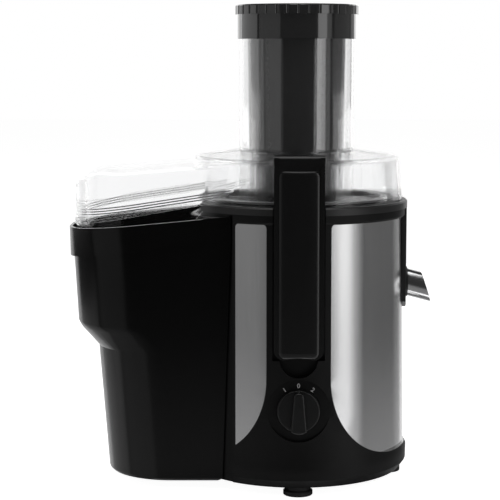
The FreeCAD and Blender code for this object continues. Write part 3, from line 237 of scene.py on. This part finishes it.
def clear_plastic(name, straight, tone, bend, tube=None):
    """Clear moulded plastic that lets light through to what is under it.

    A share of the light goes straight through, and the rest is bent a little, as by a thin
    wall. Above the height of tube, in millimetres, all of it is bent as by a full wall."""
    f = Finish(name)
    swirl = f.noise(11.0, 2.0)
    smear = f.noise(60.0, 3.0)

    def wall(density):
        return f.surface(Base_Color=grey(tone), Roughness=0.003 + smear * 0.008,
                         IOR=density, Transmission_Weight=1.0, Coat_Weight=0.5,
                         Coat_Roughness=0.02, Normal=f.bump(swirl, 0.05, 0.0001))

    shadow = f.ray("Shadow")
    passing = f.node("ShaderNodeBsdfTransparent", {}, {"Color": (0.994, 0.996, 0.997)})
    thin = f.mix(shadow.at_least(straight), wall(bend), passing)
    if tube is None:
        return f.done(thin)
    thick = f.mix(shadow, wall(FULL_BEND), passing)
    return f.done(f.mix(f.position("Z") > tube * MM, thin, thick))


def rubber(name, shade):
    """Soft rubber or pressed carbon with a dusty bloom."""
    f = Finish(name)
    grain = f.noise(500.0, 3.0)
    bloom = f.noise(30.0, 4.0)
    colour = f.tint(bloom, grey(shade * 0.7), grey(shade * 1.5))
    return f.done(f.surface(Base_Color=colour, Roughness=0.5 + bloom * 0.2,
                            Normal=f.bump(grain, 0.3, 0.00005)))


finishes = {
    "housing_plastic": moulded("satin_black_housing", 0.004, 0.5, shine=0.25),
    "bin_plastic": moulded("gloss_black_bin", 0.003, 0.18, shine=0.35),
    "pusher_plastic": moulded("gloss_black_pusher", 0.03, 0.12, coat=1.0),
    "latch_plastic": moulded("satin_black_latch", 0.008, 0.24),
    "bowl_plastic": moulded("satin_black_bowl", 0.016, 0.38),
    "knob_plastic": moulded("satin_black_knob", 0.006, 0.3),
    "inner_plastic": moulded("grey_moulded_plastic", 0.1, 0.4),
    "panel_steel": brushed("brushed_panel_steel", 0.58, 0.23, along=2),
    "spout_metal": brushed("bright_spout_metal", 0.78, 0.12, along=0),
    "clear_plastic": clear_plastic("clear_lid_plastic", straight=0.3, tone=0.998, bend=1.16,
                                   tube=262.0),
    "basket_steel": brushed("etched_basket_steel", 0.6, 0.22, along=2),
    "shaft_steel": brushed("ground_steel", 0.55, 0.2, along=2),
    "lamination": cast_metal("varnished_lamination", (0.16, 0.16, 0.17), 0.5, metal=0.6),
    "winding_copper": cast_metal("enamelled_copper", (0.6, 0.25, 0.1), 0.3),
    "commutator_copper": cast_metal("turned_copper", (0.72, 0.4, 0.2), 0.25),
    "bracket_metal": cast_metal("die_cast_bracket", (0.55, 0.55, 0.57), 0.45),
    "carbon": rubber("pressed_carbon", 0.03),
    "holder_brass": cast_metal("stamped_brass", (0.7, 0.52, 0.22), 0.3),
    "foot_rubber": rubber("soft_black_rubber", 0.012),
    "zinc_steel": cast_metal("zinc_plated_steel", (0.6, 0.6, 0.57), 0.3),
}
for name, node in nodes.items():
    if node.material_slots:
        for place in node.material_slots:
            place.material = finishes[slot_of[name]]
    else:
        node.data.materials.append(finishes[slot_of[name]])


# ------------------------------------------------------------------ hand tools
def clear_selection():
    if bpy.context.object and bpy.context.object.mode != "OBJECT":
        bpy.ops.object.mode_set(mode="OBJECT")
    bpy.ops.object.select_all(action="DESELECT")


def choose(piece):
    """Makes one piece the active one, and the only one that is selected."""
    clear_selection()
    bpy.context.view_layer.objects.active = piece
    piece.select_set(True)


def pick(piece, kind, test):
    """In edit mode, selects only the verts, edges or faces that pass the test."""
    bpy.ops.mesh.select_mode(type={"verts": "VERT", "edges": "EDGE", "faces": "FACE"}[kind])
    bpy.ops.mesh.select_all(action="DESELECT")
    mesh = bmesh.from_edit_mesh(piece.data)
    for part in getattr(mesh, kind):
        if test(part):
            part.select_set(True)
    bmesh.update_edit_mesh(piece.data)


APART = 1.0                              # millimetres; corners farther off are not the same
SAME = 0.01                              # millimetres; heights closer than this are one
LEVEL = 0.99                             # a level face's normal stands up more than this


def upright(edge):
    return abs(edge.verts[0].co.z - edge.verts[1].co.z) > APART * MM


def block(place, size):
    """A block of a size in millimetres, open in edit mode to be shaped."""
    clear_selection()
    bpy.ops.mesh.primitive_cube_add(size=1.0, location=place)
    piece = bpy.context.object
    piece.scale = [side * MM for side in size]
    bpy.ops.object.transform_apply(location=True, rotation=False, scale=True)
    bpy.ops.object.mode_set(mode="EDIT")
    return piece


def close_block():
    """Turns all faces outwards and leaves edit mode."""
    bpy.ops.mesh.select_all(action="SELECT")
    bpy.ops.mesh.normals_make_consistent(inside=False)
    bpy.ops.object.mode_set(mode="OBJECT")


def modify(piece, kind, **settings):
    """Adds a modifier with its settings to the active piece and applies it."""
    modifier = piece.modifiers.new("step", kind)
    for key, value in settings.items():
        setattr(modifier, key, value)
    bpy.ops.object.modifier_apply(modifier=modifier.name)


def smooth(piece, crease, weigh=True):
    """Smooth shading where faces meet at less than the crease; weighed, flats stay flat."""
    bpy.ops.object.shade_smooth_by_angle(angle=math.radians(crease))
    if weigh:
        modify(piece, "WEIGHTED_NORMAL", keep_sharp=True)


def finished(piece, name, material, body):
    """Shared last steps of a modelled piece."""
    piece.name = name
    piece.data.materials.clear()
    piece.data.materials.append(material)
    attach(piece, body)


# ------------------------------------------------------------------ rounded edges
CREASE = 30.0                            # degrees; edges sharper than this are rounded
WELD = 0.002                             # corners closer than this are one
FLAT = 0.5                               # degrees; faces that bend less than this are one


def fine_edges(name, width):
    """Copy of a solid with its sharp edges rounded, which stands in for it."""
    piece = bpy.data.objects.new(name + "_fine", nodes[name].data.copy())
    bpy.context.scene.collection.objects.link(piece)
    choose(piece)
    bpy.ops.mesh.customdata_custom_splitnormals_clear()
    bpy.ops.object.mode_set(mode="EDIT")
    bpy.ops.mesh.select_all(action="SELECT")
    bpy.ops.mesh.remove_doubles(threshold=WELD * MM)
    bpy.ops.mesh.dissolve_limited(angle_limit=math.radians(FLAT))
    bpy.ops.object.mode_set(mode="OBJECT")
    modify(piece, "BEVEL", width=width * MM, segments=2, limit_method="ANGLE",
           angle_limit=math.radians(CREASE), use_clamp_overlap=True)
    smooth(piece, CREASE)
    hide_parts(name)
    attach(piece, body_of[name])
    return piece


for name, width in (("motor_housing", 0.4), ("base_cover", 0.4), ("juice_bowl", 0.4),
                    ("pulp_bin", 0.5), ("speed_knob", 0.4), ("pusher_cap", 0.3),
                    ("juice_spout", 0.2)):
    fine_edges(name, width)


# ------------------------------------------------------------------ latches
ARM_EDGE = 0.3                           # rounding of the arm's edges
PAD_BACK, PAD_FRONT = 89.4, 92.0         # back and front of the pad, from the axis
PAD_HALF = 15.25                         # half its width
PAD_LOW, PAD_TOP = 107.8, 249.1
PAD_ROUND, PAD_CREASE = 14, 50.0         # steps across the crown, degrees kept smooth
PAD_RIDGE = 0.05                         # left flat between the two halves of the crown
PAD_END = 5.0                            # radius of its rounded ends
PAD_END_STEPS = (12, 28, 44, 60, 74, 86)     # degrees round each end
PRESSED = 0.08                           # share left of the solid's own pad
PRESS_FROM = 0.02                        # all that stands this far in front of PAD_BACK
PRESS_OVER = 0.4                         # is pressed, up to this far above PAD_TOP


def press_pad(piece, side):
    """Presses the raised pad of a latch's solid back, to make room for the crowned one."""
    choose(piece)
    bpy.ops.object.mode_set(mode="EDIT")
    back = at(0, side * PAD_BACK, 0)
    pick(piece, "verts", lambda vert: (vert.co.y - back.y) * side > PRESS_FROM * MM
         and vert.co.z < at(0, 0, PAD_TOP + PRESS_OVER).z)
    bpy.ops.transform.resize(value=(1.0, PRESSED, 1.0), center_override=back)
    bpy.ops.object.mode_set(mode="OBJECT")


def latch_pad(name, side, body):
    """The soft crowned front of a latch: a half round drawn flat, with rounded ends."""
    low, top = PAD_LOW + PAD_END, PAD_TOP - PAD_END
    back = at(0, side * PAD_BACK, 0)
    piece = block(at(0, side * (PAD_BACK + PAD_HALF / 2), (low + top) / 2),
                  (2 * PAD_HALF, PAD_HALF, top - low))
    pick(piece, "edges", lambda edge: upright(edge)
         and (edge.verts[0].co.y - back.y) * side > APART * MM)
    bpy.ops.mesh.bevel(offset=(PAD_HALF - PAD_RIDGE) * MM, segments=PAD_ROUND,
                       affect="EDGES")
    bpy.ops.mesh.select_all(action="SELECT")
    bpy.ops.transform.resize(value=(1.0, (PAD_FRONT - PAD_BACK) / PAD_HALF, 1.0),
                             center_override=back)
    for end in (-1, 1):                  # bottom, then top
        width, depth, reach = PAD_HALF, 1.0, 0.0
        for angle in PAD_END_STEPS:
            mesh = bmesh.from_edit_mesh(piece.data)
            limit = max(face.calc_center_median().z * end for face in mesh.faces)
            pick(piece, "faces", lambda face: face.normal.z * end > LEVEL
                 and abs(face.calc_center_median().z * end - limit) < SAME * MM)
            turn = math.radians(angle)
            step = PAD_END * math.sin(turn) - reach
            narrow = PAD_HALF - PAD_END * (1 - math.cos(turn))
            bpy.ops.mesh.extrude_region_move(
                TRANSFORM_OT_translate={"value": (0, 0, end * step * MM)})
            bpy.ops.transform.resize(value=(narrow / width, math.cos(turn) / depth, 1.0),
                                     center_override=back)
            width, depth, reach = narrow, math.cos(turn), reach + step
    close_block()
    smooth(piece, PAD_CREASE)
    finished(piece, name, finishes["latch_plastic"], body)


for name, side in (("front_latch_arm", -1), ("rear_latch_arm", 1)):
    press_pad(fine_edges(name, ARM_EDGE), side)
    latch_pad(name.replace("arm", "pad"), side, body_of[name])


# ------------------------------------------------------------------ dial
KNOB_HEIGHT = 67.2                       # of the dial's centre
DIAL_FACE = 82.6                         # floor of the dish, in front of the axis
NUMERAL_RING = 18.95
NUMERAL_SIZE = 4.8
PRINT = 0.03                             # thickness of the print
STROKE = 0.05                            # what the strokes gain on each side
print_white = cast_metal("printed_white", (0.92, 0.92, 0.92), 0.5, metal=0.0)


def numeral(word, angle):
    """A printed figure on the floor of the dial, turned with its place on the ring."""
    clear_selection()
    turn = math.radians(angle)
    bpy.ops.object.text_add(rotation=(math.pi / 2, turn, 0))
    text = bpy.context.object
    text.data.body = word
    text.data.size = NUMERAL_SIZE * MM
    text.data.extrude = PRINT * MM
    text.data.offset = STROKE * MM
    bpy.ops.object.convert(target="MESH")
    bpy.ops.object.transform_apply(location=True, rotation=True, scale=True)
    figure = bpy.context.object
    corners = [Vector(corner) for corner in figure.bound_box]
    centre = sum(corners, Vector()) / len(corners)
    figure.location = at(NUMERAL_RING * math.sin(turn), -DIAL_FACE - PRINT,
                         KNOB_HEIGHT + NUMERAL_RING * math.cos(turn)) - centre
    bpy.ops.object.transform_apply(location=True, rotation=False, scale=False)
    finished(figure, "numeral_" + word, print_white, "body")


for word, angle in (("1", -34.0), ("0", 0.0), ("2", 34.0)):
    numeral(word, angle)


# ------------------------------------------------------------------ hood flange
HOOD_REACH, HOOD_HALF = 170.0, 56.5      # plan of the ribs, from the axis
HOOD_CORNER, CORNER_STEPS = 48.0, 20     # radius of its outer corners
CORNERS_BEYOND = 100.0                   # only the corners farther out than this are rounded
BLOCK_MIDDLE, BLOCK_HEIGHT = 220.0, 60.0     # the block that a rib is cut from
FLANGE_OUT, FLANGE_OUT_HEIGHT = 175.2, 210.8     # the flange's slope, by its two ends
FLANGE_IN, FLANGE_IN_HEIGHT = 57.0, 228.7
RIB_END = 52.0                           # the ribs stop this far from the axis
RIB_WIDTH, RIB_DEPTH = 1.9, 0.95
RIB_EDGE, RIB_EDGE_ANGLE = 0.3, 50.0     # rounding, of edges sharper than these degrees
RIB_PITCH, RIB_RAISE = 1.95, 3.0         # from rib to rib, and the top one over the flange
RIBS = 3
SLOPING = 0.9                            # a rib's top and foot face up or down this much
# The ribs' clear plastic gets a dark grey tone: painted shade that stands in for the dark lines
# their refraction shows.
rib_painted_shade = clear_plastic("clear_rib_painted_shade", straight=0.0, tone=0.25, bend=1.3)


def hood_rib(name, height):
    """One rounded rib of the flange round the hood, rising towards the lid."""
    piece = block(at(-HOOD_REACH / 2, 0, BLOCK_MIDDLE),
                  (HOOD_REACH, 2 * HOOD_HALF, BLOCK_HEIGHT))
    pick(piece, "edges", lambda edge: upright(edge)
         and edge.verts[0].co.x < at(-CORNERS_BEYOND, 0, 0).x)
    bpy.ops.mesh.bevel(offset=HOOD_CORNER * MM, segments=CORNER_STEPS, affect="EDGES")
    slope = Vector((FLANGE_OUT_HEIGHT - FLANGE_IN_HEIGHT, 0.0,
                    FLANGE_OUT - FLANGE_IN)).normalized()
    for drop, above in ((0.0, True), (RIB_DEPTH, False)):
        bpy.ops.mesh.select_all(action="SELECT")
        bpy.ops.mesh.bisect(plane_co=at(-FLANGE_OUT, 0, FLANGE_OUT_HEIGHT + height - drop),
                            plane_no=slope, use_fill=True, clear_outer=above,
                            clear_inner=not above)
    pick(piece, "faces", lambda face: abs(face.normal.z) > SLOPING)
    bpy.ops.mesh.inset(thickness=RIB_WIDTH * MM)
    bpy.ops.mesh.delete(type="FACE")
    bpy.ops.mesh.select_mode(type="EDGE")
    bpy.ops.mesh.select_all(action="DESELECT")
    bpy.ops.mesh.select_non_manifold()
    bpy.ops.mesh.bridge_edge_loops()
    bpy.ops.mesh.select_all(action="SELECT")
    bpy.ops.mesh.bisect(plane_co=at(-RIB_END, 0, 0), plane_no=(1.0, 0.0, 0.0),
                        use_fill=True, clear_outer=True)
    close_block()
    modify(piece, "BEVEL", width=RIB_EDGE * MM, segments=3,
           angle_limit=math.radians(RIB_EDGE_ANGLE))
    smooth(piece, CREASE, weigh=False)
    finished(piece, name, rib_painted_shade, "body")


for k in range(RIBS):
    hood_rib(f"hood_rib_{k + 1}", RIB_RAISE - k * RIB_PITCH)


# ------------------------------------------------------------------ floor and backdrop
PAINT = 0.8                              # grey of the paint on both
FLOOR_SIZE, FLOOR_LEVEL = 14.0, -0.0002  # a hair under the feet
FLOOR_GLOW = 0.96
FLOOR_BEHIND = 0.35                      # through glass, the floor is white from here back
FADE_FROM, FADE_TO = 0.15, 0.75          # in mirrors and through glass in front, painted light on the floor fades to painted shade between these distances
FADE_NEAR, FADE_FAR = 0.45, 0.04         # from this grey to that
POLISH, POLISH_ROUGH = 0.8, 0.12
BACKDROP_PLACE, BACKDROP_SIZE = (-0.2, 1.3, 0.6), (2.2, 1.2, 1.0)
BACKDROP_GLOW = 1.0


def floor_finish(name):
    """White to the eye, and through glass behind the machine; polished in mirrors. In mirrors
    and through glass in front, it is painted light near the machine, fading to painted shade
    farther off.
    """
    f = Finish(name)
    eye, mirror, glass = [f.ray(kind) for kind in ("Camera", "Glossy", "Transmission")]
    behind = f.position("Y") > FLOOR_BEHIND
    dim = mirror.at_least(glass * (1.0 - behind))
    # Painted falloff of light: the paint seen in mirrors goes from light grey near the machine
    # to near black farther off.
    reach = f.node("ShaderNodeVectorMath", {"operation": "LENGTH"}, {0: f.place}, 1)
    painted_falloff_share = f.node("ShaderNodeMapRange", {}, {"Value": reach, "From Min": FADE_FROM,
                                             "From Max": FADE_TO})
    painted_falloff = f.tint(painted_falloff_share, grey(FADE_NEAR), grey(FADE_FAR))
    pale = f.diffuse(f.tint(dim, grey(PAINT), painted_falloff))
    polish = f.node("ShaderNodeBsdfGlossy", {}, {"Color": grey(POLISH),
                                                 "Roughness": POLISH_ROUGH})
    solid = f.mix(mirror, pale, f.join(pale, polish))
    return f.done(f.mix(eye + glass * behind, solid, f.join(pale, f.glow(FLOOR_GLOW))))


def backdrop_finish(name):
    """White in reflections and through glass; matt surfaces get only a paint's light."""
    f = Finish(name)
    return f.done(f.mix(f.ray("Diffuse"), f.glow(BACKDROP_GLOW), f.diffuse(grey(PAINT))))


clear_selection()
bpy.ops.mesh.primitive_plane_add(size=FLOOR_SIZE, location=(0.0, 0.0, FLOOR_LEVEL))
floor = bpy.context.object
floor.name = "floor"
floor.data.materials.append(floor_finish("pale_floor"))

clear_selection()
bpy.ops.mesh.primitive_plane_add(size=1.0, location=BACKDROP_PLACE,
                                 rotation=(math.pi / 2, 0, 0))
backdrop = bpy.context.object
backdrop.name = "backdrop"
backdrop.scale = BACKDROP_SIZE
backdrop.visible_camera = False
bpy.ops.object.transform_apply(location=False, rotation=False, scale=True)
backdrop.data.materials.append(backdrop_finish("pale_backdrop"))


# ------------------------------------------------------------------ lamps and room
def softbox(name, azimuth, distance, width, low, high, radiance):
    """Upright area lamp facing the machine; azimuth 0 is in front, positive to the right."""
    turn = math.radians(azimuth)
    place = Vector((math.sin(turn), -math.cos(turn), 0.0)) * distance
    place.z = (low + high) / 2
    bpy.ops.object.light_add(type="AREA", location=place, rotation=(math.pi / 2, 0.0, turn))
    lamp = bpy.context.object
    lamp.name = name
    lamp.data.shape = "RECTANGLE"
    lamp.data.size, lamp.data.size_y = width, high - low
    lamp.data.energy = radiance * math.pi * width * (high - low)
    lamp.visible_camera = False
    return lamp


# name, azimuth, distance, width, low edge, high edge, radiance
for box in (("key_softbox", 50.0, 0.95, 0.3, 0.005, 1.1, 1.15),
            ("key_spill", 55.0, 1.0, 0.5, 0.005, 1.1, 0.45),
            ("left_softbox", -110.0, 1.1, 1.15, 0.09, 1.3, 0.6),
            ("left_fill", -54.0, 1.0, 0.85, 0.005, 1.0, 0.25),
            ("right_fill", 98.0, 1.1, 0.9, 0.005, 1.0, 0.13),
            ("right_back", 137.0, 1.1, 0.5, 0.005, 1.0, 0.3)):
    softbox(*box)
overhead = softbox("top_softbox", 0.0, 0.35, 1.6, 0.0, 1.2, 1.6)     # laid flat overhead
overhead.location = (0.0, -0.35, 1.8)
overhead.rotation_euler = (math.radians(-11.0), 0.0, 0.0)

ROOM_LIGHT = 0.035                       # what the machine gets; the eye sees white
room = Finish("studio_world", world=True)
dark, white = [room.node("ShaderNodeBackground", {}, {"Color": WHITE, "Strength": strength})
               for strength in (ROOM_LIGHT, 1.0)]
bpy.context.scene.world = room.done(room.mix(room.ray("Camera"), dark, white))

# ------------------------------------------------------------------ camera
CAMERA_LEFT = 36.72                      # millimetres left of the motor axis
CAMERA_BACK, CAMERA_HEIGHT = 1.2775, 0.3356
CAMERA_DOWN = 6.95                       # degrees below level
LENS = 116.06
bpy.ops.object.camera_add(location=(AXIS.x - CAMERA_LEFT * MM, -CAMERA_BACK, CAMERA_HEIGHT),
                          rotation=(math.radians(90.0 - CAMERA_DOWN), 0.0, 0.0))
camera = bpy.context.object
camera.name = "studio_camera"
camera.data.sensor_width = 36.0
camera.data.lens = LENS
camera.data.clip_end = 50.0
bpy.context.scene.camera = camera
bpy.context.scene.view_settings.view_transform = "Standard"
